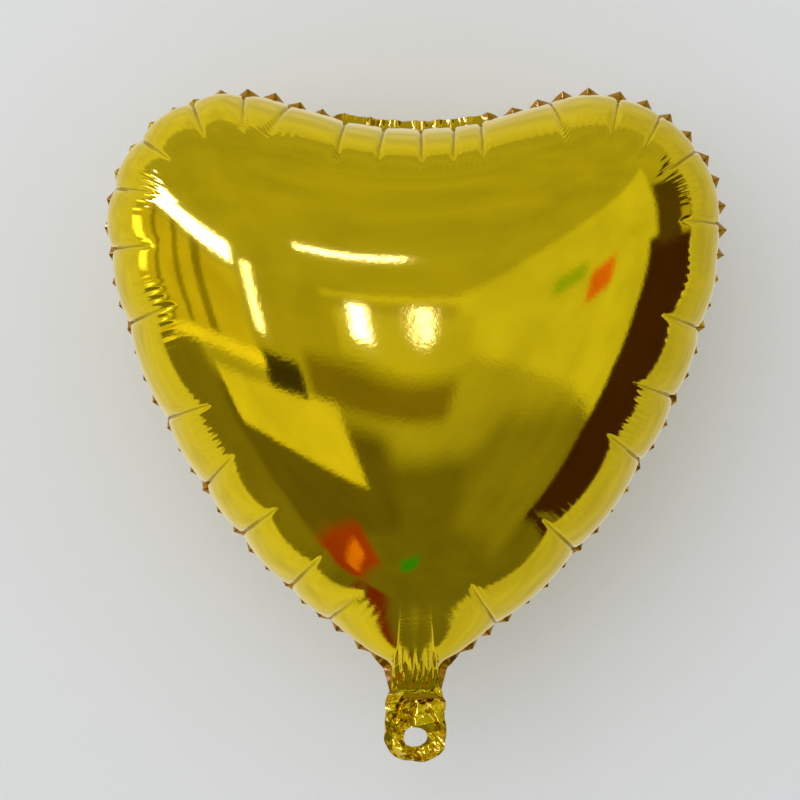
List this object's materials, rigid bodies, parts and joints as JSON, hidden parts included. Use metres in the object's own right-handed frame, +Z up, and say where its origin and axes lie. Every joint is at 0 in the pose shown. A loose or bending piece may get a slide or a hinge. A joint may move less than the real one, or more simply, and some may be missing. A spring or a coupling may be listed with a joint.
{
  "type": "heart-shaped foil balloon",
  "caption": "Inflated heart-shaped foil balloon with a heat-sealed rim, a folding filling tail with a tie hole, and a self-closing film valve inside the neck.",
  "frame": {"origin": "centre of the hole in the tail, on the plane of the seam", "axes": "+Z up from the tail to the lobes, +X across the heart, -Y out of the front face"},
  "size_m": [0.368, 0.1794, 0.3972],
  "materials": {
    "gold_foil": "mirror-bright metallised plastic film with a lemon-gold tint",
    "weld": "pressed and finely knurled by the sealing bar",
    "valve_film": "clear, slightly milky film",
    "release_print": "thin matt ink"
  },
  "bodies": {
    "envelope": {"front_panel": "gold_foil", "back_panel": "gold_foil", "seam_weld": "weld", "valve_neck_front_film": "valve_film", "valve_neck_back_film": "valve_film", "valve_release_print": "release_print"},
    "tail": {"tail_front_foil": "gold_foil", "tail_back_foil": "gold_foil", "tail_edge_seal": "weld", "valve_inlet_front_film": "valve_film", "valve_inlet_back_film": "valve_film"},
    "valve_front": {"valve_front_flap": "valve_film"},
    "valve_back": {"valve_back_flap": "valve_film"}
  },
  "joints": [
    {"name": "tail_fold", "type": "hinge", "parent": "envelope", "child": "tail", "pos_m": [0, 0, 0.022], "axis": [1, 0, 0], "range_deg": [-120, 120], "stiffness_Nm_per_rad": 0.0001},
    {"name": "valve_front_open", "type": "hinge", "parent": "envelope", "child": "valve_front", "pos_m": [0, 0, 0.048], "axis": [1, 0, 0], "range_deg": [0, 6], "stiffness_Nm_per_rad": 0.0001},
    {"name": "valve_back_open", "type": "hinge", "parent": "envelope", "child": "valve_back", "pos_m": [0, 0, 0.048], "axis": [-1, 0, 0], "range_deg": [0, 6], "stiffness_Nm_per_rad": 0.0001}
  ],
  "couplings": [
    {"joint": "valve_back_open", "follows": "valve_front_open", "ratio": 1}
  ]
}
